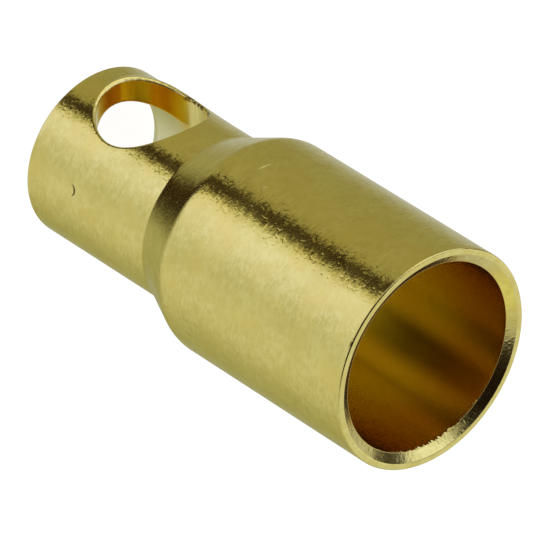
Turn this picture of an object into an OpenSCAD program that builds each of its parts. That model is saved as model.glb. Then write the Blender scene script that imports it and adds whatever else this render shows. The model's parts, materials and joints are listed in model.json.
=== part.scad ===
// Socket half of a bullet-type banana connector, turned in one piece from brass bar and plated.
// The wide end is a plain bored socket that takes the spring pin of the plug half.
// A conical shoulder leads to the narrow end, a solder cup with a hole drilled through one wall.
// All sizes are in millimetres. The part stands on its cup end, with the mouth up along +Z.

/* [Socket barrel] */
// Bore of the socket, the nominal size of the pin that goes in
socket_d = 8; // [6.5:0.1:9.5]
// Wall of the barrel round the socket bore
barrel_wall = 0.65; // [0.5:0.05:1.5]
// Length of the straight barrel, from the mouth face back to the shoulder
barrel_l = 10.55; // [6:0.05:20]
// Height of the socket bore's flat floor above the shoulder
floor_above_shoulder = 0.5; // [0.2:0.05:1.5]

/* [Shoulder] */
// Length of the conical shoulder between barrel and cup
shoulder_l = 2.3; // [1.8:0.05:4]

/* [Solder cup] */
// Bore of the cup that takes the stripped wire
cup_bore_d = 5.4; // [4.8:0.1:6]
// Wall of the cup
cup_wall = 0.95; // [0.6:0.05:1.5]
// Length of the straight cup, from the rear end up to the shoulder
cup_l = 7.15; // [6.5:0.05:10]
// Solid web left on the axis, between the socket's floor and the cup's drill point
web_t = 2.55; // [1.6:0.05:3.2]
// Included angle of the cup's drill point, in degrees
drill_point = 140; // [132:1:160]

/* [Solder hole] */
// Diameter of the hole through one wall of the cup
solder_hole_d = 4.4; // [2:0.1:5]
// Distance of the hole's centre from the rear end
solder_hole_from_rear = 3.4; // [2.8:0.05:4]

/* [Edges] */
// Width of the flat ring that faces the plug
mouth_face_w = 0.2; // [0.05:0.01:0.4]
// Depth of the lead-in chamfer, which takes up the rest of the mouth's wall
lead_in_l = 0.27; // [0.1:0.01:0.5]
// Edge break round the outside of the mouth
mouth_edge = 0.07; // [0.02:0.01:0.3]
// Edge break round the outside of the rear end
rear_edge = 0.04; // [0.02:0.01:0.4]
// Width of the countersink inside the rear end, which guides the wire
wire_lead_in = 0.15; // [0.02:0.01:0.5]
// Depth of that countersink
wire_lead_in_l = 0.4; // [0.05:0.05:0.6]

/* [Hidden] */
$fn = 128;

plated_brass = [0.79, 0.7, 0.38];

socket_r = socket_d / 2;
barrel_r = socket_r + barrel_wall;
cup_bore_r = cup_bore_d / 2;
cup_r = cup_bore_r + cup_wall;

// Heights above the rear end
shoulder_top = cup_l + shoulder_l;
mouth = shoulder_top + barrel_l;

// The drill point is a cone: its height for one unit of drill radius
point_rise = tan(90 - drill_point / 2);
socket_floor = shoulder_top + floor_above_shoulder;
cup_point = socket_floor - web_t;
cup_floor = cup_point - cup_bore_r * point_rise;

// Half section of the turned body, radius along X and height along Y,
// from the rear end up the outside, over the mouth, down the socket and back through the cup
module half_section() {
    outside = [
        [cup_bore_r + wire_lead_in, 0],
        [cup_r - rear_edge, 0],
        [cup_r, rear_edge],
        [cup_r, cup_l],
        [barrel_r, shoulder_top],
        [barrel_r, mouth - mouth_edge],
        [barrel_r - mouth_edge, mouth],
    ];
    socket = [
        [barrel_r - mouth_edge - mouth_face_w, mouth],
        [socket_r, mouth - lead_in_l],
        [socket_r, socket_floor],
        [0, socket_floor],
    ];
    cup = [
        [0, cup_point],
        [cup_bore_r, cup_floor],
        [cup_bore_r, wire_lead_in_l],
    ];
    polygon(concat(outside, socket, cup));
}

// Drill for the solder hole: it starts on the axis, so only the wall on the -Y side is cut
module solder_hole() {
    translate([0, 0, solder_hole_from_rear])
        rotate([90, 0, 0])
            cylinder(d = solder_hole_d, h = 2 * cup_r);
}

module socket_body() {
    color(plated_brass)
        difference() {
            rotate_extrude() half_section();
            solder_hole();
        }
}

socket_body();
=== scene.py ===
"""Socket half of a bullet-type banana connector: one turned, cross-drilled and plated brass body.

The body stands on its solder cup with the open mouth up. Everything is in metres, in the frame of the
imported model.
"""

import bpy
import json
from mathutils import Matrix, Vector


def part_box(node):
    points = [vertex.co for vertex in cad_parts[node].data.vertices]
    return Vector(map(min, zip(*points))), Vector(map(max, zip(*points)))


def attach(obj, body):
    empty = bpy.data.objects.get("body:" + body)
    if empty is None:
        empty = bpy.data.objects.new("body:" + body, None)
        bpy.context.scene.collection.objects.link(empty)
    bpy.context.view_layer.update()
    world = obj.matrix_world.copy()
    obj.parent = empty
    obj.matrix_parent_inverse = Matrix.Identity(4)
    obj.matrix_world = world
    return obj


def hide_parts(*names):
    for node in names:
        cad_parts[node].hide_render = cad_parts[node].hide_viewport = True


bl_info = {
    "name": "Banana connector socket",
    "version": (1, 0, 0),
    "blender": (4, 5, 0),
    "location": "3D View > Sidebar > Connector",
    "description": "Makes the turned and plated socket of a banana connector, and the studio that shows it",
    "category": "Add Mesh",
}

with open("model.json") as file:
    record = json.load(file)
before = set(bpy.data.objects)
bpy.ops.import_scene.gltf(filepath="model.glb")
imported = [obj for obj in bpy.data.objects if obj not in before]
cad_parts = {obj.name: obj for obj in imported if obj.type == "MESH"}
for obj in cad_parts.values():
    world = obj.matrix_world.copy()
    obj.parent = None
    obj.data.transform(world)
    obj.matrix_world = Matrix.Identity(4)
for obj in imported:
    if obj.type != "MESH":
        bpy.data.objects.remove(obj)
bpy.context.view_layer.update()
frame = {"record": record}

import json
import math
from collections import namedtuple

import bmesh
import bpy
import numpy as np
from bpy.props import FloatProperty, FloatVectorProperty, PointerProperty
from bpy.types import Operator, Panel, PropertyGroup
from mathutils import Matrix, Vector

BODY_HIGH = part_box("socket_body")[1]
MOUNTS = {mount["name"]: mount for mount in frame["record"]["mounts"]}
HOLE_HEIGHT = MOUNTS["solder_hole"]["pos_m"][2]

# How finely the body is divided: steps round a full turn, steps across the patch of the cup's wall that
# holds the solder hole, and rows up that patch
ROUND_STEPS = 240
PATCH_STEPS = 100
PATCH_ROWS = 48

# Points of a rounded corner of the section, and shares of a straight line's length at which it has points
CORNER_POINTS = 7
LINE_SHARES = (0.02, 0.08, 0.25, 0.5, 0.75, 0.92, 0.98)

# Rows from the hole's edge to the border of the patch, how far they crowd towards the edge, rows over a
# rounded edge, and rows through the wall
WALL_ROWS = 15
WALL_CROWDING = 1.4
EDGE_ROWS = 6
THROUGH_ROWS = 12

# Points nearer to each other than this become one
WELD_DISTANCE = 1e-7

# Rounds of the section's corners, from the outside of the cup up over the mouth and down into the socket,
# then at the rear end and inside the cup
SHOULDER_FOOT_ROUND = 0.00006
SHOULDER_TOP_ROUND = 0.00025
RING_ROUND = 0.00003
LAND_ROUND = 0.000005
SOCKET_FLOOR_ROUND = 0.00002
REAR_ROUND = 0.00002
COUNTERSINK_ROUND = 0.00005
CUP_FLOOR_ROUND = 0.00015

# The patch that holds the hole starts at this share of the height of the hole's foot, and ends at this share
# of the way from the hole's top to the cup's floor
PATCH_LOW = 0.6
PATCH_HIGH = 0.6

# Angles round the hole's axis from +X at which the drill's lip stands highest and the outer edge is most
# worn, and the powers by which they fall off
LIP_AT = math.radians(228)
LIP_POWER = 8
WORN_AT = math.radians(245)
WORN_POWER = 4

# Outer edge of the hole as shares of its largest round: unworn, added by wear, and added by chatter, whose
# two waves go this many times round the hole
EDGE_UNWORN = 0.45
EDGE_WORN = 0.45
EDGE_CHATTER = 0.035
CHATTER_WAVES = (31, 47)
CHATTER_SHIFT = 2

# Share of the hole's rounded edges that is a plain chamfer, the rest being a quarter circle
CHAMFER = 0.7


def mount_radius(name):
    """Radius of one of the record's round mounts, in metres."""
    return MOUNTS[name]["dims"]["r_mm"] / 1000


def length(name, description, default):
    """A size in metres that a user may change."""
    return FloatProperty(
        name=name, description=description, default=default, min=0, precision=5, unit="LENGTH")


def angle(name, description, degrees):
    """An angle that a user may change."""
    return FloatProperty(
        name=name, description=description, default=math.radians(degrees), subtype="ANGLE")


def colour(name, description, default):
    """A linear colour that a user may change."""
    return FloatVectorProperty(
        name=name, description=description, default=default, size=3, min=0, subtype="COLOR")


def share_of(name, description, default):
    """A plain number from 0 to 1 that a user may change."""
    return FloatProperty(name=name, description=description, default=default, min=0, max=1)


class SocketSizes(PropertyGroup):
    """Sizes of the turned body."""

    mouth_height: length("Length", "Rear end to mouth face", BODY_HIGH.z)
    barrel_radius: length("Barrel radius", "Outside of the socket barrel", BODY_HIGH.x)
    socket_radius: length("Socket radius", "Bore that takes the pin", mount_radius("socket_bore"))
    socket_floor: length("Socket floor", "Height of the bore's flat floor", 0.00995)
    shoulder_top: length("Shoulder top", "Height at which the barrel begins", 0.00945)
    shoulder_foot: length("Shoulder foot", "Height at which the cup ends", 0.00715)
    cup_radius: length("Cup radius", "Outside of the solder cup", 0.00365)
    cup_bore_radius: length("Cup bore radius", "Bore that takes the wire", mount_radius("wire_cup"))
    web: length("Web", "Metal left between the socket's floor and the cup's drill point", 0.00255)
    drill_slope: angle("Drill slope", "Slope of the cup's drill point from the flat", 20)
    hole_radius: length("Solder hole radius", "Hole through the cup's wall", mount_radius("solder_hole"))
    hole_height: length("Solder hole height", "Hole's axis above the rear end", HOLE_HEIGHT)
    hole_lip: length("Hole lip", "How far the drill pushed the wall out at one side of the hole", 0.00014)
    hole_edge: length("Hole edge", "Largest round of the hole's outer edge", 0.000135)
    hole_inner_edge: length("Hole inner edge", "Round of the hole's inner edge", 0.00004)
    mouth_edge: length("Mouth edge", "Round of the mouth's outer edge", 0.00009)
    mouth_face: length("Mouth face", "Width of the flat ring at the mouth", 0.00017)
    lead_in: length("Lead-in", "Depth of the chamfer inside the mouth", 0.00023)
    lead_in_land: length("Lead-in land", "Width of the burnished edge below the lead-in", 0.000012)
    rear_edge: length("Rear edge", "Edge break round the outside of the rear end", 0.00004)
    wire_lead_in: length("Wire lead-in", "Width of the countersink inside the rear end", 0.00015)
    wire_lead_in_depth: length("Wire lead-in depth", "Depth of that countersink", 0.0004)


class PlatedFinish(PropertyGroup):
    """Colours and grain of the gold plate."""

    plate: colour("Plate", "Colour of the gold plate", (0.98, 0.845, 0.335))
    plate_thin: colour("Thin plate", "Colour where the plate is thinner", (0.86, 0.72, 0.245))
    plate_warm: colour("Warm plate", "Colour of the warmer clouds", (0.94, 0.765, 0.255))
    plate_inside: colour("Plate inside", "Deeper colour inside the socket", (0.765, 0.645, 0.175))
    socket_mouth: colour("Socket mouth", "Redder colour inside the mouth", (0.76, 0.49, 0.12))
    # Painted light: the pale colour on one side of the cup's open end stands in for light coming in through
    # that end
    cup_end_painted_light: colour("Cup end", "Pale colour inside the cup's open end", (1.0, 0.96, 0.71))
    cup_deep: colour("Cup inside", "Colour deeper inside the cup", (1.0, 0.76, 0.05))
    hole_wall: colour("Hole wall", "Colour of the solder hole's wall", (0.98, 0.85, 0.40))
    hole_streak: colour("Hole streaks", "Colour of the drill's streaks", (0.93, 0.78, 0.30))
    scratch: colour("Scratches", "Colour of the scratches", (1.0, 0.9, 0.46))
    # Painted shade: a near-black colour stands in for the shade inside the nick
    nick_painted_shade: colour("Nick", "Colour in the nick", (0.12, 0.08, 0.02))
    # Painted shade: a dark colour stands in for the shade along the burrs by the hole and the chip at the
    # mouth
    burr_painted_shade: colour("Burr", "Colour of the ragged edges", (0.22, 0.17, 0.05))
    stroke_tilt: share_of("Stroke tilt", "Sideways tilt of the turning strokes", 0.15)
    scratch_tilt: share_of("Scratch tilt", "Upward tilt of the scratches' walls", 0.54)
    grain_depth: length("Grain depth", "Height of the fine tumbled grain", 0.0000034)
    nick_depth: length("Nick depth", "Depth of the nick", 0.000005)
    roughness_low: share_of("Smoothest", "Roughness of the smoothest plate", 0.175)
    roughness_high: share_of("Dullest", "Roughness of the dullest plate", 0.21)
    roughness_socket: share_of("Socket", "Roughness inside the socket", 0.165)
    roughness_cup: share_of("Cup", "Roughness inside the solder cup", 0.3)
    roughness_cup_end: share_of("Cup end", "Roughness inside the cup's open end", 0.45)
    roughness_hole: share_of("Hole", "Roughness of the solder hole's wall", 0.2)
    roughness_scratch: share_of("Scratches", "Roughness of the scratches", 0.45)


class StudioStage(PropertyGroup):
    """Camera, floor and the dark flag of the light tent."""

    azimuth: angle("Azimuth", "Camera's direction, from -Y towards +X", 44.825)
    elevation: angle("Elevation", "Camera's height above the horizon", 40.123)
    roll: angle("Roll", "Turn of the picture about the line of sight", 122.223)
    distance: length("Distance", "Camera to the point it looks at", 0.2906)
    aim: FloatVectorProperty(
        name="Aim", description="Point in the middle of the picture", default=(0.00031, 0.00031, 0.01118),
        size=3, precision=5, subtype="XYZ", unit="LENGTH")
    lens: FloatProperty(
        name="Lens", description="Focal length for a 36 mm sensor", default=491.19, unit="CAMERA")
    floor: colour("Floor", "Colour of the floor", (0.3, 0.3, 0.3))
    flag: colour("Flag", "Dark cloth between two sides of the tent, and below", (0.015, 0.004, 0.0))


def rounded_section(corners, rounds):
    """Half section as points (radius, height).

    Straight lines join the corners. At a distance of its round from an inner corner the line is left, and a
    parabola with the corner as its control point leads to the next line. The points of a line gather near
    its ends, so that the shading of a round doesn't spread over the flat beside it.
    """
    corners = np.array(corners)
    cut = np.array(rounds)[:, None]
    line = np.diff(corners, axis=0)
    along = line / np.linalg.norm(line, axis=1, keepdims=True)
    leave = corners[1:-1] - cut * along[:-1]
    join = corners[1:-1] + cut * along[1:]
    t = np.linspace(0, 1, CORNER_POINTS)[None, :, None]
    bends = (1 - t) ** 2 * leave[:, None] + 2 * t * (1 - t) * corners[1:-1, None] + t ** 2 * join[:, None]
    share = np.array(LINE_SHARES)[None, :, None]
    first = np.vstack([corners[:1], join])
    last = np.vstack([leave, corners[-1:]])
    lines = (1 - share) * first[:, None] + share * last[:, None]
    runs = np.concatenate([lines[:-1], bends], axis=1).reshape(-1, 2)
    return np.vstack([corners[:1], runs, lines[-1], corners[-1:]])


def barrel_section(sizes, low):
    """From a height on the cup up the shoulder and barrel, over the mouth and down to the socket's floor."""
    ring_inside = sizes.barrel_radius - sizes.mouth_edge - sizes.mouth_face
    lead_in_foot = sizes.mouth_height - sizes.lead_in
    corners = [
        (sizes.cup_radius, low),
        (sizes.cup_radius, sizes.shoulder_foot),
        (sizes.barrel_radius, sizes.shoulder_top),
        (sizes.barrel_radius, sizes.mouth_height),
        (ring_inside, sizes.mouth_height),
        (sizes.socket_radius + sizes.lead_in_land, lead_in_foot),
        (sizes.socket_radius, lead_in_foot),
        (sizes.socket_radius, sizes.socket_floor),
        (0.0, sizes.socket_floor),
    ]
    return rounded_section(corners, [
        SHOULDER_FOOT_ROUND, SHOULDER_TOP_ROUND, sizes.mouth_edge, RING_ROUND, LAND_ROUND, LAND_ROUND,
        SOCKET_FLOOR_ROUND])


def rear_section(sizes, high):
    """From a height on the outside of the cup down round the rear end, and up the cup's bore again."""
    corners = [
        (sizes.cup_radius, high),
        (sizes.cup_radius, sizes.rear_edge),
        (sizes.cup_radius - sizes.rear_edge, 0.0),
        (sizes.cup_bore_radius + sizes.wire_lead_in, 0.0),
        (sizes.cup_bore_radius, sizes.wire_lead_in_depth),
        (sizes.cup_bore_radius, high),
    ]
    return rounded_section(corners, [REAR_ROUND, REAR_ROUND, COUNTERSINK_ROUND, COUNTERSINK_ROUND])


def cup_section(sizes, low, cup_floor, cup_point):
    """From a height on the cup's bore up to its floor and along the drill's slope to the point."""
    corners = [(sizes.cup_bore_radius, low), (sizes.cup_bore_radius, cup_floor), (0.0, cup_point)]
    return rounded_section(corners, [CUP_FLOOR_ROUND])


def turned(radius, turn, height):
    """Points of a turned surface: (radius sin turn, -radius cos turn, height). Turn 0 faces the hole."""
    return np.stack(np.broadcast_arrays(radius * np.sin(turn), -radius * np.cos(turn), height), axis=-1)


def lathe(section):
    """The section carried once round the axis, as a grid of section points by turns."""
    turn = np.arange(ROUND_STEPS) * (2 * np.pi / ROUND_STEPS)
    return turned(section[:, :1], turn, section[:, 1:])


def wall_behind_hole(radius, half_turn, low, high):
    """The cup's wall outside the patch: a cylinder from one side of it round the back to the other."""
    turn = np.linspace(half_turn, 2 * np.pi - half_turn, ROUND_STEPS - PATCH_STEPS + 1)
    return turned(radius, turn, np.linspace(low, high, PATCH_ROWS + 1)[:, None])


def patch_border(half_turn, low, high):
    """(turn, height) once round the rectangle of wall that holds the hole, from its lower left corner."""
    across = np.linspace(-half_turn, half_turn, PATCH_STEPS + 1)
    up = np.linspace(low, high, PATCH_ROWS + 1)
    turn = np.concatenate([
        across[:-1], np.full(PATCH_ROWS, half_turn), across[:0:-1], np.full(PATCH_ROWS, -half_turn)])
    height = np.concatenate([
        np.full(PATCH_STEPS, low), up[:-1], np.full(PATCH_STEPS, high), up[:0:-1]])
    return turn, height


def drill_lip(sizes, t):
    """How far the wall stands out at the hole: it falls off as a power of the half angle's cosine."""
    return sizes.hole_lip * np.cos((t - LIP_AT) / 2) ** LIP_POWER


def worn_edge(sizes, t):
    """Round of the hole's outer edge.

    Wear is a power of the half angle's cosine. Chatter is the sum of two sine waves, as strong as the wear.
    """
    worn = np.cos((t - WORN_AT) / 2) ** WORN_POWER
    coarse, fine = CHATTER_WAVES
    chatter = np.sin(coarse * t) + np.sin(fine * t + CHATTER_SHIFT)
    return sizes.hole_edge * (EDGE_UNWORN + EDGE_WORN * worn + EDGE_CHATTER * worn * chatter)


def hole_patch(sizes, half_turn, low, high):
    """Both walls of the cup round the solder hole, and the hole's own wall, as one closed strip.

    The strip's long parameter t goes once round the hole, whose circle is x = r cos t, z = hole height + r
    sin t. Its short parameter starts at the border of the patch on the outer wall, follows that wall to the
    hole while the wall rises to the lip, rounds the edge, runs straight through the wall along the hole's
    axis, rounds the inner edge and follows the inner wall back out to the border.
    """
    turn, height = patch_border(half_turn, low, high)
    middle = (sizes.cup_radius + sizes.cup_bore_radius) / 2
    t = np.arctan2(height - sizes.hole_height, middle * turn)
    lip = drill_lip(sizes, t)
    edge = worn_edge(sizes, t)

    def circle(radius):
        return radius * np.cos(t), sizes.hole_height + radius * np.sin(t)

    def wall(radius, edge, rise, share):
        """Wall from the hole's edge, share 0, to the border, share 1. The rise eases off to nothing."""
        x, z = circle(sizes.hole_radius + edge)
        start = np.arcsin(x / (radius + rise))
        lift = rise * (1 - share) ** 4 * (1 + 4 * share)
        return turned(radius + lift, start + share * (turn - start), z + share * (height - z))

    def rounding(radius, edge, side, quarter):
        """Edge from the hole, quarter 0, to the wall, quarter a right angle: chamfer mixed with a circle."""
        straight = quarter / (np.pi / 2)
        out = CHAMFER * straight + (1 - CHAMFER) * (1 - np.cos(quarter))
        deep = CHAMFER * (1 - straight) + (1 - CHAMFER) * (1 - np.sin(quarter))
        x, z = circle(sizes.hole_radius + edge * out)
        y = np.sqrt(radius ** 2 - x ** 2) - side * edge * deep
        return np.stack(np.broadcast_arrays(x, -y, z), axis=-1)

    share = (np.linspace(0, 1, WALL_ROWS) ** WALL_CROWDING)[:, None]
    quarter = np.linspace(0, np.pi / 2, EDGE_ROWS)[:-1, None]
    outer_edge = rounding(sizes.cup_radius + lip, edge, 1, quarter)
    inner_edge = rounding(sizes.cup_bore_radius, sizes.hole_inner_edge, -1, quarter)
    through = np.linspace(0, 1, THROUGH_ROWS)[1:-1, None, None]
    bore = (1 - through) * outer_edge[0] + through * inner_edge[0]
    return np.concatenate([
        wall(sizes.cup_radius, edge, lip, share[::-1]), outer_edge[::-1], bore,
        inner_edge, wall(sizes.cup_bore_radius, sizes.hole_inner_edge, 0.0, share)])


def grid_faces(rows, columns, closed):
    """Four-sided faces between neighbouring points of a grid. A closed grid joins its two end columns."""
    index = np.arange(rows * columns).reshape(rows, columns)
    ahead = np.roll(index, -1, axis=1)
    faces = np.stack([index[:-1], ahead[:-1], ahead[1:], index[1:]], axis=-1)
    if not closed:
        faces = faces[:, :-1]
    return faces.reshape(-1, 4)


def welded(name, patches):
    """One closed mesh from (grid, closed) patches whose borders meet point on point."""
    points = [grid.reshape(-1, 3) for grid, _ in patches]
    first = np.cumsum([0] + [len(part) for part in points[:-1]])
    faces = [grid_faces(*grid.shape[:2], closed) + start for (grid, closed), start in zip(patches, first)]
    mesh = bpy.data.meshes.new(name)
    mesh.from_pydata(np.vstack(points).tolist(), [], np.vstack(faces).tolist())
    body = bmesh.new()
    body.from_mesh(mesh)
    bmesh.ops.remove_doubles(body, verts=body.verts, dist=WELD_DISTANCE)
    bmesh.ops.recalc_face_normals(body, faces=body.faces)
    open_edges = sum(not edge.is_manifold for edge in body.edges)
    body.to_mesh(mesh)
    body.free()
    if open_edges:
        raise RuntimeError(f"{name}: {open_edges} edges of the patches don't meet")
    mesh.polygons.foreach_set("use_smooth", np.ones(len(mesh.polygons), bool))
    return mesh


def socket_mesh(sizes):
    """The whole connector: three turned sections, the back of the cup's two walls, and the hole's patch.

    The sections meet the patch at two heights on the cup, below and above the hole.
    """
    cup_point = sizes.socket_floor - sizes.web
    cup_floor = cup_point - math.tan(sizes.drill_slope) * sizes.cup_bore_radius
    low = PATCH_LOW * (sizes.hole_height - sizes.hole_radius)
    high = (1 - PATCH_HIGH) * (sizes.hole_height + sizes.hole_radius) + PATCH_HIGH * cup_floor
    half_turn = np.pi * PATCH_STEPS / ROUND_STEPS
    return welded("socket_body_plated", [
        (lathe(barrel_section(sizes, high)), True),
        (lathe(rear_section(sizes, low)), True),
        (lathe(cup_section(sizes, high, cup_floor, cup_point)), True),
        (wall_behind_hole(sizes.cup_radius, half_turn, low, high), False),
        (wall_behind_hole(sizes.cup_bore_radius, half_turn, low, high), False),
        (hole_patch(sizes, half_turn, low, high), True),
    ])


def empty_tree(block):
    """The node tree of a new material or world, without the nodes it starts with."""
    block.use_nodes = True
    block.node_tree.nodes.clear()
    return block.node_tree


def put(tree, kind, sockets=(), **options):
    """Adds a node.

    Options are its own settings. Sockets gives inputs by name or number, each a value or another's output.
    """
    node = tree.nodes.new(kind)
    for name, value in options.items():
        setattr(node, name, value)
    for name, value in dict(sockets).items():
        if isinstance(value, bpy.types.NodeSocket):
            tree.links.new(value, node.inputs[name])
        else:
            node.inputs[name].default_value = value
    return node


def opaque(values):
    """A colour of three numbers as the four of a colour socket."""
    return (*values, 1.0)


def along_axes(tree, place):
    """The X, Y and Z of a place or direction."""
    axes = put(tree, "ShaderNodeSeparateXYZ", {"Vector": place}).outputs
    return axes["X"], axes["Y"], axes["Z"]


def noise(tree, place, cells, detail):
    """Noise of so many cells for a metre, or for a metre along each axis, with finer detail laid over it."""
    if isinstance(cells, tuple):
        place = put(tree, "ShaderNodeMapping", {"Vector": place, "Scale": cells}).outputs["Vector"]
        cells = 1.0
    return put(tree, "ShaderNodeTexNoise", {
        "Vector": place, "Scale": cells, "Detail": detail}).outputs["Fac"]


def spread(tree, value, start, end, to_start=0.0, to_end=1.0):
    """The value's range start to end, eased to another range."""
    return put(tree, "ShaderNodeMapRange", {
        "Value": value, "From Min": start, "From Max": end, "To Min": to_start, "To Max": to_end,
    }, interpolation_type="SMOOTHSTEP").outputs["Result"]


def calculate(tree, operation, first, second=0.0, third=0.0):
    """One sum on up to three numbers."""
    return put(tree, "ShaderNodeMath", {0: first, 1: second, 2: third}, operation=operation).outputs["Value"]


def product(tree, *shares):
    """Several shares multiplied together."""
    total = shares[0]
    for share in shares[1:]:
        total = calculate(tree, "MULTIPLY", total, share)
    return total


def largest(tree, *shares):
    """The largest of several shares."""
    total = shares[0]
    for share in shares[1:]:
        total = calculate(tree, "MAXIMUM", total, share)
    return total


def rest_of(tree, share):
    """What a share leaves of the whole."""
    return calculate(tree, "SUBTRACT", 1.0, share)


def painted(tree, below, share, tint):
    """A tint laid over what is below, by its share."""
    return put(tree, "ShaderNodeMix", {"Factor": share, 6: below, 7: tint}, data_type="RGBA").outputs[2]


def vector(tree, operation, **sockets):
    """One vector sum. Sockets are first, second and scale, and the result is the output in use."""
    names = {"first": 0, "second": 1, "scale": "Scale"}
    inputs = {names[key]: value for key, value in sockets.items()}
    node = put(tree, "ShaderNodeVectorMath", inputs, operation=operation)
    return node.outputs["Value" if operation in ("LENGTH", "DOT_PRODUCT") else "Vector"]


# Heights in the web between which the cup's plate gives way to the socket's, how softly the plate of a bore
# ends at its edge, and the place along Y from which the solder hole's plate is whole
WEB_LOW, WEB_HIGH = 0.0080, 0.0085
BORE_FADE = 0.00003
CUP_FADE = 0.00002
HOLE_START = -0.0005


def within(tree, x, y, radius, fade):
    """Share of what lies within a radius of an axis: 1 inside, easing to 0 over the fade beyond it."""
    flat = put(tree, "ShaderNodeCombineXYZ", {"X": x, "Y": y}).outputs["Vector"]
    return spread(tree, vector(tree, "LENGTH", first=flat), radius + fade, radius)


def inside_places(tree, place, sizes):
    """Shares of the plate on the walls of the socket, of the cup and of the solder hole."""
    x, y, z = along_axes(tree, place)
    above_web = spread(tree, z, WEB_LOW, WEB_HIGH)
    below_web = spread(tree, z, WEB_HIGH, WEB_LOW)
    cup_mouth = sizes.cup_bore_radius + sizes.wire_lead_in
    above_hole = calculate(tree, "SUBTRACT", z, sizes.hole_height)
    hole_side = spread(tree, y, 0.0, HOLE_START)
    socket = product(tree, above_web, within(tree, x, y, sizes.socket_radius, BORE_FADE))
    cup = product(tree, below_web, within(tree, x, y, cup_mouth, CUP_FADE))
    hole = product(tree, hole_side, within(tree, x, above_hole, sizes.hole_radius, BORE_FADE))
    return socket, cup, hole


# Chips below the lead-in: the turn about which they lie, the shares of the bore's radius between which they
# fade in towards it, their pattern round the bore, how far down they reach, and how sharp they end
CHIPS_AT = math.radians(172)
CHIPS_FADE_IN = (0.6, 0.85)
CHIPS_PATTERN = ((9000, 9000, 0), 1.0)
CHIPS_CONTRAST = (0.4, 0.7)
CHIPS_REACH = 0.00013
CHIPS_SHARPNESS = 0.00002

# The belt of bore that the chips keep to: how softly it starts at the lead-in's foot, and where it ends
BELT_START = 0.00001
BELT_END = (0.0003, 0.0002)


def lead_in_chips(tree, place, sizes):
    """Share of the fine chips that one side of the lead-in's inner edge leaves on the bore below it."""
    facing = vector(tree, "DOT_PRODUCT", first=place, second=(math.sin(CHIPS_AT), -math.cos(CHIPS_AT), 0))
    sector = spread(tree, facing, *(share * sizes.socket_radius for share in CHIPS_FADE_IN))
    reach = spread(tree, noise(tree, place, *CHIPS_PATTERN), *CHIPS_CONTRAST, 0.0, CHIPS_REACH)
    height = along_axes(tree, place)[2]
    below = calculate(tree, "SUBTRACT", sizes.mouth_height - sizes.lead_in, height)
    above_reach = spread(tree, calculate(tree, "SUBTRACT", reach, below), 0.0, CHIPS_SHARPNESS)
    belt = product(tree, spread(tree, below, -BELT_START, BELT_START), spread(tree, below, *BELT_END))
    return product(tree, above_reach, belt, sector)


# An oval mark on the outside: turn from the solder hole in degrees, height of its middle, lean from level in
# degrees, half its length and width, and the share of them within which it is whole; then how far it goes
# into the wall
Mark = namedtuple("Mark", "turn height lean half_length half_width core")
MARK_DEPTH = 0.0005

# Scratches by their strength: two deeper ones, whose walls catch the light, and a faint one
DEEP_SCRATCHES = (
    (0.62, Mark(6.56, 0.01091, -11.3, 0.00062, 0.00008, 0.1)),
    (0.5, Mark(16.5, 0.01186, -66, 0.00025, 0.0001, 0.2)),
)
FAINT_SCRATCH = (0.4, Mark(41.6, 0.0174, -5.7, 0.00022, 0.00006, 0.2))

# The nick is a thin crescent, painted dark as painted shade: what the first round mark leaves uncovered by
# the second
NICK = Mark(75.8, 0.00267, 0, 0.00026, 0.00026, 0.85)
NICK_INSIDE = Mark(76.3, 0.00254, 0, 0.0003, 0.0003, 0.85)

# Ragged edges, painted dark as painted shade: two stretches of burr beside the hole on the cup, and one chip
# at the mouth
HOLE_BURR_SHADES = (
    Mark(-36.5, 0.00345, 90, 0.0009, 0.00013, 0.5),
    Mark(-30.0, 0.00462, 52, 0.0007, 0.00013, 0.5),
)
MOUTH_CHIP_SHADE = Mark(58.3, 0.01994, 0, 0.0003, 0.00006, 0.5)
RAGGED_PATTERN = (9000.0, 1.0)
RAGGED_CONTRAST = (0.40, 0.52)


def marked(tree, place, radius, mark):
    """Share of an oval mark on a turned wall of this radius: whole in its core, fading towards its edge."""
    around = math.radians(mark.turn)
    outward = Vector((math.sin(around), -math.cos(around), 0))
    level = Vector((math.cos(around), math.sin(around), 0))
    upward = Vector((0, 0, 1))
    slant = math.radians(mark.lean)
    along = math.cos(slant) * level + math.sin(slant) * upward
    across = math.cos(slant) * upward - math.sin(slant) * level
    local = put(tree, "ShaderNodeMapping", {
        "Vector": place,
        "Location": radius * outward + mark.height * upward,
        "Rotation": Matrix((along, across, outward)).transposed().to_euler(),
        "Scale": (mark.half_length, mark.half_width, MARK_DEPTH),
    }, vector_type="TEXTURE").outputs["Vector"]
    return spread(tree, vector(tree, "LENGTH", first=local), 1.0, mark.core)


def scratch(tree, place, sizes, strength, mark):
    """Share of one scratch on the barrel, by its strength."""
    return product(tree, strength, marked(tree, place, sizes.barrel_radius, mark))


def nicked(tree, place, sizes):
    """Share of the crescent-shaped nick on the cup."""
    inside = marked(tree, place, sizes.cup_radius, NICK_INSIDE)
    return product(tree, marked(tree, place, sizes.cup_radius, NICK), rest_of(tree, inside))


def ragged_painted_shade(tree, place, sizes):
    """Share of the ragged edges, painted dark as painted shade, broken up by noise."""
    broken = spread(tree, noise(tree, place, *RAGGED_PATTERN), *RAGGED_CONTRAST)
    burrs = (marked(tree, place, sizes.cup_radius, burr_painted_shade) for burr_painted_shade in HOLE_BURR_SHADES)
    return product(tree, broken, largest(tree, *burrs, marked(tree, place, sizes.barrel_radius, MOUTH_CHIP_SHADE)))


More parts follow.
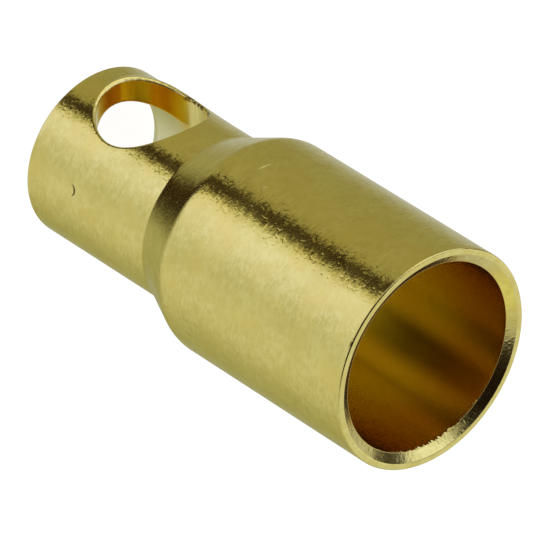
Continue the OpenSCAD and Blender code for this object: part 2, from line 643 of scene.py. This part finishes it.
# Patterns of the plate, each as cells for a metre, or for a metre along X, Y and Z, and the finer detail:
# broad clouds, warm clouds, mottle, turning strokes that lie level, the drill's streaks along Y, the tumbled
# grain and its small dents
CLOUDS = (800.0, 3.0)
WARM_CLOUDS = (700.0, 2.0)
MOTTLE = (2600.0, 3.0)
STROKES = ((3500, 3500, 9000), 2.0)
STREAKS = ((9000, 600, 9000), 1.0)
GRAIN = (10000.0, 1.0)
DENTS = (5600.0, 0.0)

# Weights of clouds, mottle and strokes in the plate's thickness. Each contrast is the range of its pattern
# that becomes the full range of its tone. Warm clouds have a strength as well, and dents a depth as a share
# of the grain's.
THIN_WEIGHTS = (0.3, 0.35, 0.35)
THIN_CONTRAST = (0.38, 0.62)
WARM_CONTRAST = (0.45, 0.7)
WARM_STRENGTH = 0.8
STREAK_CONTRAST = (0.3, 0.7)
CLOUD_CONTRAST = (0.3, 0.7)
DENT_CONTRAST = (0.62, 0.79)
DENT_DEPTH = 0.9

# How steeply chips and scratches turn the plate upwards
LIFT = 1.4

# Heights between which the socket reddens towards its mouth, and the heights and places along X between
# which one side of the cup's open end is painted paler, as painted light
REDDER = (0.0155, 0.0185)
PAINTED_LIGHT_HEIGHT = (0.0032, 0.0018)
PAINTED_LIGHT_SIDE = (-0.0003, -0.0015)


def plate_tone(tree, place, finish, clouds, strokes):
    """Colour of the outside: thin where a weighted sum of three patterns is high, and warm in clouds."""
    patterns = (clouds, noise(tree, place, *MOTTLE), strokes)
    thin = 0.0
    for pattern, weight in zip(patterns, THIN_WEIGHTS):
        thin = calculate(tree, "MULTIPLY_ADD", pattern, weight, thin)
    warm = spread(tree, noise(tree, place, *WARM_CLOUDS), *WARM_CONTRAST)
    tone = painted(
        tree, opaque(finish.plate), spread(tree, thin, *THIN_CONTRAST), opaque(finish.plate_thin))
    return painted(tree, tone, product(tree, warm, WARM_STRENGTH), opaque(finish.plate_warm))


def socket_tone(tree, place, finish):
    """Colour inside the socket, redder towards the mouth."""
    redder = spread(tree, along_axes(tree, place)[2], *REDDER)
    return painted(tree, opaque(finish.plate_inside), redder, opaque(finish.socket_mouth))


def painted_light_end(tree, place):
    """Share of the side of the cup's open end that is painted paler, as painted light."""
    x, _, z = along_axes(tree, place)
    return product(tree, spread(tree, z, *PAINTED_LIGHT_HEIGHT), spread(tree, x, *PAINTED_LIGHT_SIDE))


def hole_tone(tree, place, finish):
    """Colour of the solder hole's wall, with the drill's streaks along it."""
    streaks = spread(tree, noise(tree, place, *STREAKS), *STREAK_CONTRAST)
    return painted(tree, opaque(finish.hole_wall), streaks, opaque(finish.hole_streak))


def tilted_normal(tree, finish, strokes, outside, lifted):
    """The surface's normal, leaning sideways by the strokes and upwards where something is lifted."""
    normal = put(tree, "ShaderNodeNewGeometry").outputs["Normal"]
    sideways = vector(tree, "CROSS_PRODUCT", first=(0, 0, 1), second=normal)
    tilt = calculate(tree, "MULTIPLY", calculate(tree, "SUBTRACT", strokes, 0.5), finish.stroke_tilt)
    lean = vector(tree, "SCALE", first=sideways, scale=product(tree, tilt, outside))
    raised = vector(tree, "SCALE", first=(0, 0, LIFT), scale=lifted)
    both = vector(tree, "ADD", first=lean, second=raised)
    return vector(tree, "NORMALIZE", first=vector(tree, "ADD", first=normal, second=both))


def grained_normal(tree, place, finish, outside, nick_painted_shade, normal):
    """The normal with the tumbled grain, its small dents and the nick pressed into it."""
    dents = spread(tree, noise(tree, place, *DENTS), *DENT_CONTRAST, 0.0, DENT_DEPTH)
    grain = calculate(tree, "SUBTRACT", noise(tree, place, *GRAIN), dents)
    grained = put(tree, "ShaderNodeBump", {
        "Height": grain, "Strength": outside, "Distance": finish.grain_depth, "Normal": normal})
    pressed = put(tree, "ShaderNodeBump", {
        "Height": nick_painted_shade, "Strength": 1.0, "Distance": finish.nick_depth,
        "Normal": grained.outputs["Normal"]}, invert=True)
    return pressed.outputs["Normal"]


def plate_roughness(tree, finish, clouds, places):
    """Roughness of the outside by its clouds, and of each (share, roughness) place laid over it in turn."""
    roughness = spread(tree, clouds, *CLOUD_CONTRAST, finish.roughness_low, finish.roughness_high)
    for share, value in places:
        roughness = put(tree, "ShaderNodeMix", {"Factor": share, 2: roughness, 3: value}).outputs[0]
    return roughness


def plated_brass(finish, sizes):
    """Gold plate over a turned and tumbled surface.

    Short strokes lie round the axis, each tilted a little to one side, so that the edge of a reflection
    breaks up into feathers. Fine grain with small dents and a faint cloudy tone lie over them. The bores are
    deeper in colour and without strokes. The cup is duller near its open end, where one side is painted
    paler as painted light, and streaks run along the solder hole's wall. The outside has a nick, some
    scratches and ragged edges, the nick and edges painted dark as painted shade, and fine chips lie below
    the lead-in.
    """
    material = bpy.data.materials.new("plated_brass")
    tree = empty_tree(material)
    place = put(tree, "ShaderNodeTexCoord").outputs["Object"]
    socket, cup, hole = inside_places(tree, place, sizes)
    chips = product(tree, socket, lead_in_chips(tree, place, sizes))
    socket = product(tree, socket, rest_of(tree, chips))
    outside = product(tree, *(rest_of(tree, share) for share in (socket, cup, hole)))
    painted_light_side = painted_light_end(tree, place)
    clouds = noise(tree, place, *CLOUDS)
    strokes = noise(tree, place, *STROKES)
    grooved = largest(tree, *(scratch(tree, place, sizes, *deep) for deep in DEEP_SCRATCHES))
    scratched = largest(tree, grooved, scratch(tree, place, sizes, *FAINT_SCRATCH))
    nick_painted_shade = nicked(tree, place, sizes)

    tone = plate_tone(tree, place, finish, clouds, strokes)
    tone = painted(tree, tone, socket, socket_tone(tree, place, finish))
    # Painted light: one side of the cup's open end is painted paler than the deeper cup
    tone = painted(tree, tone, cup, painted(tree, opaque(finish.cup_deep), painted_light_side, opaque(finish.cup_end_painted_light)))
    tone = painted(tree, tone, hole, hole_tone(tree, place, finish))
    tone = painted(tree, tone, scratched, opaque(finish.scratch))
    # Painted shade: the nick is painted near-black
    tone = painted(tree, tone, nick_painted_shade, opaque(finish.nick_painted_shade))
    # Painted shade: the burrs by the hole and the chip at the mouth are painted dark
    tone = painted(tree, tone, ragged_painted_shade(tree, place, sizes), opaque(finish.burr_painted_shade))

    lifted = largest(tree, chips, product(tree, grooved, finish.scratch_tilt))
    normal = tilted_normal(tree, finish, strokes, outside, lifted)
    normal = grained_normal(tree, place, finish, outside, nick_painted_shade, normal)
    roughness = plate_roughness(tree, finish, clouds, [
        (socket, finish.roughness_socket),
        (cup, finish.roughness_cup),
        (product(tree, cup, painted_light_side), finish.roughness_cup_end),
        (hole, finish.roughness_hole),
        (scratched, finish.roughness_scratch),
    ])
    shader = put(tree, "ShaderNodeBsdfPrincipled", {
        "Base Color": tone, "Metallic": 1.0, "Roughness": roughness, "Normal": normal})
    put(tree, "ShaderNodeOutputMaterial", {"Surface": shader.outputs["BSDF"]})
    return material


# Sides of the tent below the horizon: azimuth from the camera in degrees, right positive, and tone
TENT_SIDES = (
    (-180, (0.62, 0.64, 0.61)),
    (-154, (0.46, 0.48, 0.44)),
    (-140, (0.38, 0.385, 0.29)),
    (-124, (0.305, 0.296, 0.155)),
    (-36, (0.352, 0.331, 0.162)),
    (-26, (0.41, 0.38, 0.08)),
    (-20, (0.63, 0.61, 0.32)),
    (-14, (0.81, 0.83, 0.90)),
    (-6, (0.80, 0.83, 0.95)),
    (0, (0.80, 0.83, 0.97)),
    (18, (0.68, 0.705, 0.73)),
    (40, (0.555, 0.57, 0.47)),
    (70, (0.62, 0.635, 0.54)),
    (94, (0.56, 0.57, 0.43)),
    (114, (0.445, 0.445, 0.27)),
    (140, (0.36, 0.365, 0.165)),
    (170, (0.40, 0.405, 0.27)),
)

# Roof of the tent, and the heights of a direction between which the sides give way to it
TENT_ROOF = (0.51, 0.52, 0.5)
ROOF_START = (-0.15, 0.1)

# Round cards that hang in the tent: where their middle is, their radius, and how far they fade beyond it, in
# degrees, and their tone. A later card covers an earlier one.
Card = namedtuple("Card", "azimuth elevation radius softness tone")
TENT_CARDS = (
    Card(180, 40, 20, 20, (0.62, 0.64, 0.58)),
    Card(-150, 38, 8, 16, (0.86, 0.88, 0.8)),
    Card(125, 38, 8, 18, (0.64, 0.65, 0.36)),
    Card(18, 50, 34, 12, (0.042, 0.028, 0.006)),
    Card(17, 80, 24, 5, (0.006, 0.002, 0.001)),
    Card(-72, 16, 10, 10, (0.98, 0.98, 0.88)),
    Card(-98, 40, 20, 4, (0.86, 0.92, 1.05)),
    Card(-131, 28, 11.5, 3, (0.02, 0.012, 0.003)),
    Card(-147, 54, 6, 5, (0.06, 0.04, 0.01)),
    Card(0, -90, 12, 18, (0.365, 0.37, 0.2)),
)

# The flag also hangs below the connector as a soft round card: azimuth, elevation, radius and softness
FLAG_BELOW = (-13, -85, 0, 22.5)

# The flag's upright strip: its azimuth and half its width in degrees, where it ends and where it is whole,
# the side it hangs on and how far under the connector it goes, and the heights between which it starts
STRIP_AZIMUTH = -33.0
STRIP_HALF_WIDTH = (8.9, 4.8)
STRIP_SIDE_AZIMUTH = -32
STRIP_SIDE = (-0.25, -0.15)
STRIP_TOP = (0.1, -0.1)

WHITE = (1.0, 1.0, 1.0)


def towards(azimuth, elevation):
    """Unit vector at an azimuth from the camera's side, right positive, and an elevation, in degrees."""
    a, e = math.radians(azimuth), math.radians(elevation)
    return (math.cos(a) * math.cos(e), math.sin(a) * math.cos(e), math.sin(e))


def tent_sides(tree, x, y):
    """Tone of the tent's sides by the azimuth of a direction, straight from one stop to the next."""
    turn = calculate(tree, "ARCTAN2", y, x)
    share = calculate(tree, "MULTIPLY_ADD", turn, 1 / (2 * math.pi), 0.5)
    sides = put(tree, "ShaderNodeValToRGB", {"Fac": share})
    stops = sides.color_ramp.elements
    while len(stops) < len(TENT_SIDES):
        stops.new(0.5)
    for stop, (azimuth, tone) in zip(stops, TENT_SIDES):
        stop.position = azimuth / 360 + 0.5
        stop.color = opaque(tone)
    return sides.outputs["Color"]


def card_share(tree, direction, card):
    """Share of a round card at a direction: 1 inside its radius, easing to 0 over its softness."""
    middle = towards(card.azimuth, card.elevation)
    away = calculate(tree, "ARCCOSINE", vector(tree, "DOT_PRODUCT", first=direction, second=middle))
    return spread(tree, away, math.radians(card.radius + card.softness), math.radians(card.radius))


def flag_strip(tree, direction, height):
    """Share of the flag's strip: near an upright plane through the part, to one side, below the roof."""
    across = towards(STRIP_AZIMUTH + 90, 0)
    off = calculate(tree, "ABSOLUTE", vector(tree, "DOT_PRODUCT", first=direction, second=across))
    near = spread(tree, off, *(math.sin(math.radians(width)) for width in STRIP_HALF_WIDTH))
    facing = vector(tree, "DOT_PRODUCT", first=direction, second=towards(STRIP_SIDE_AZIMUTH, 0))
    return product(tree, near, spread(tree, facing, *STRIP_SIDE), spread(tree, height, *STRIP_TOP))


def tent_world(stage):
    """Light tent that lights the connector, and plain white for the camera.

    Below the horizon its tone follows the azimuth from the camera's side. Above there is an even pale roof.
    Cards and a dark flag hang in it.
    """
    world = bpy.data.worlds.new("light_tent")
    tree = empty_tree(world)
    ray = put(tree, "ShaderNodeTexCoord").outputs["Generated"]
    direction = put(tree, "ShaderNodeMapping", {
        "Vector": ray, "Rotation": (0, 0, math.radians(90) - stage.azimuth)}).outputs["Vector"]
    x, y, z = along_axes(tree, direction)
    light = painted(tree, tent_sides(tree, x, y), spread(tree, z, *ROOF_START), opaque(TENT_ROOF))
    for card in (*TENT_CARDS, Card(*FLAG_BELOW, stage.flag)):
        light = painted(tree, light, card_share(tree, direction, card), opaque(card.tone))
    light = painted(tree, light, flag_strip(tree, direction, z), opaque(stage.flag))

    camera_ray = put(tree, "ShaderNodeLightPath").outputs["Is Camera Ray"]
    seen = painted(tree, light, camera_ray, opaque(WHITE))
    background = put(tree, "ShaderNodeBackground", {"Color": seen, "Strength": 1.0})
    put(tree, "ShaderNodeOutputWorld", {"Surface": background.outputs["Background"]})
    return world


# Half the floor's width, and its glow to the camera, a little less than full so that the shadow still shows
FLOOR_HALF = 2.0
FLOOR_GLOW = 0.95

# Width of the camera's sensor in millimetres, and how often light may go from wall to wall in the bores
SENSOR = 36
WALL_TO_WALL = 10


def floor_material(stage):
    """Pale matt floor that glows almost white to the camera alone."""
    material = bpy.data.materials.new("floor_white")
    tree = empty_tree(material)
    matt = put(tree, "ShaderNodeBsdfDiffuse", {"Color": opaque(stage.floor)})
    camera_ray = put(tree, "ShaderNodeLightPath").outputs["Is Camera Ray"]
    glow = put(tree, "ShaderNodeEmission", {"Strength": calculate(tree, "MULTIPLY", camera_ray, FLOOR_GLOW)})
    both = put(tree, "ShaderNodeAddShader", {0: matt.outputs["BSDF"], 1: glow.outputs["Emission"]})
    put(tree, "ShaderNodeOutputMaterial", {"Surface": both.outputs["Shader"]})
    return material


def add_floor(stage):
    """Square floor under the connector, which the metal doesn't mirror."""
    near, far = -FLOOR_HALF, FLOOR_HALF
    mesh = bpy.data.meshes.new("floor")
    mesh.from_pydata([(near, near, 0), (far, near, 0), (far, far, 0), (near, far, 0)], [], [(0, 1, 2, 3)])
    mesh.materials.append(floor_material(stage))
    floor = bpy.data.objects.new("floor", mesh)
    floor.visible_glossy = False
    bpy.context.scene.collection.objects.link(floor)


def add_camera(stage):
    """Camera at its distance from the aim point, turned by the roll about its line of sight."""
    a, e = stage.azimuth, stage.elevation
    back = Vector((math.sin(a) * math.cos(e), -math.cos(a) * math.cos(e), math.sin(e)))
    level = Vector((math.cos(a), math.sin(a), 0))
    upright = back.cross(level)
    right = math.cos(stage.roll) * level + math.sin(stage.roll) * upright
    up = back.cross(right)
    data = bpy.data.cameras.new("camera")
    data.sensor_width = SENSOR
    data.lens = stage.lens
    camera = bpy.data.objects.new("camera", data)
    turn = Matrix((right, up, back)).transposed().to_4x4()
    camera.matrix_world = Matrix.Translation(Vector(stage.aim) + stage.distance * back) @ turn
    bpy.context.scene.collection.objects.link(camera)
    bpy.context.scene.camera = camera


class CONNECTOR_OT_socket_body(Operator):
    """Make the turned, drilled and plated body"""

    bl_idname = "connector.socket_body"
    bl_label = "Socket body"

    def execute(self, context):
        mesh = socket_mesh(context.scene.connector_sizes)
        mesh.materials.append(plated_brass(context.scene.connector_finish, context.scene.connector_sizes))
        body = bpy.data.objects.new("socket_body_plated", mesh)
        context.scene.collection.objects.link(body)
        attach(body, "root")
        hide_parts("socket_body")
        return {"FINISHED"}


class CONNECTOR_OT_studio(Operator):
    """Set up the floor, the light tent and the camera"""

    bl_idname = "connector.studio"
    bl_label = "Studio"

    def execute(self, context):
        scene = context.scene
        stage = scene.connector_stage
        add_floor(stage)
        scene.world = tent_world(stage)
        add_camera(stage)
        scene.view_settings.view_transform = "Standard"
        scene.cycles.glossy_bounces = WALL_TO_WALL
        return {"FINISHED"}


class CONNECTOR_PT_make(Panel):
    """Lists the pieces and the studio"""

    bl_idname = "CONNECTOR_PT_make"
    bl_label = "Banana connector socket"
    bl_space_type = "VIEW_3D"
    bl_region_type = "UI"
    bl_category = "Connector"

    def draw(self, context):
        for made_by in OPERATORS:
            self.layout.operator(made_by.bl_idname)


GROUPS = {"connector_sizes": SocketSizes, "connector_finish": PlatedFinish, "connector_stage": StudioStage}
OPERATORS = (CONNECTOR_OT_socket_body, CONNECTOR_OT_studio)


def register():
    """Registers the classes and hangs the property groups on the scene."""
    for cls in (*GROUPS.values(), *OPERATORS, CONNECTOR_PT_make):
        bpy.utils.register_class(cls)
    for name, group in GROUPS.items():
        setattr(bpy.types.Scene, name, PointerProperty(type=group))


def unregister():
    """Takes the property groups off the scene and the classes out again."""
    for name in GROUPS:
        delattr(bpy.types.Scene, name)
    for cls in (CONNECTOR_PT_make, *reversed(OPERATORS), *GROUPS.values()):
        bpy.utils.unregister_class(cls)


def main():
    """Makes the connector and its studio."""
    register()
    bpy.ops.connector.socket_body()
    bpy.ops.connector.studio()


if __name__ == "__main__":
    main()
